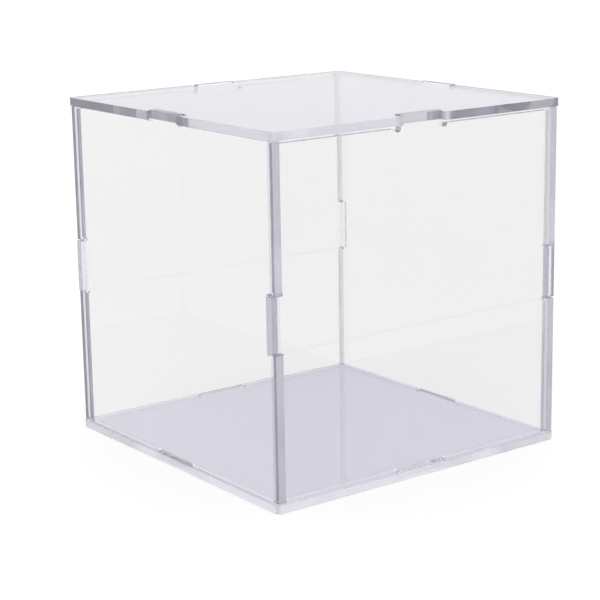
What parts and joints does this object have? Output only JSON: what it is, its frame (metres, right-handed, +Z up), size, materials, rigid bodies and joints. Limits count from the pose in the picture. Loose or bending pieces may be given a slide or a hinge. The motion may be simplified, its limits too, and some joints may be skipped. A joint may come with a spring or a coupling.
{
  "type": "acrylic display cube",
  "caption": "Clear acrylic display cube with flat walls that interlock by tabs and lift off a square base.",
  "frame": {"origin": "middle of the base panel's underside", "axes": "+Z up, -Y is the front wall, whose side tabs pass through the left and right walls"},
  "size_m": [0.12, 0.12, 0.12],
  "materials": {
    "base_panel_acrylic": "polished clear acrylic",
    "front_wall_acrylic": "polished clear acrylic",
    "back_wall_acrylic": "polished clear acrylic",
    "left_wall_acrylic": "polished clear acrylic",
    "right_wall_acrylic": "polished clear acrylic",
    "top_panel_acrylic": "polished clear acrylic"
  },
  "bodies": {
    "base": {"base_panel": "base_panel_acrylic"},
    "walls": {"front_wall": "front_wall_acrylic", "back_wall": "back_wall_acrylic", "left_wall": "left_wall_acrylic", "right_wall": "right_wall_acrylic"},
    "lid": {"top_panel": "top_panel_acrylic"}
  },
  "joints": [
    {"name": "cover_lift", "type": "slide", "parent": "base", "child": "walls", "axis": [0, 0, 1], "range_m": [0, 0.125]},
    {"name": "top_lift", "type": "slide", "parent": "walls", "child": "lid", "axis": [0, 0, 1], "range_m": [0, 0.05]}
  ]
}
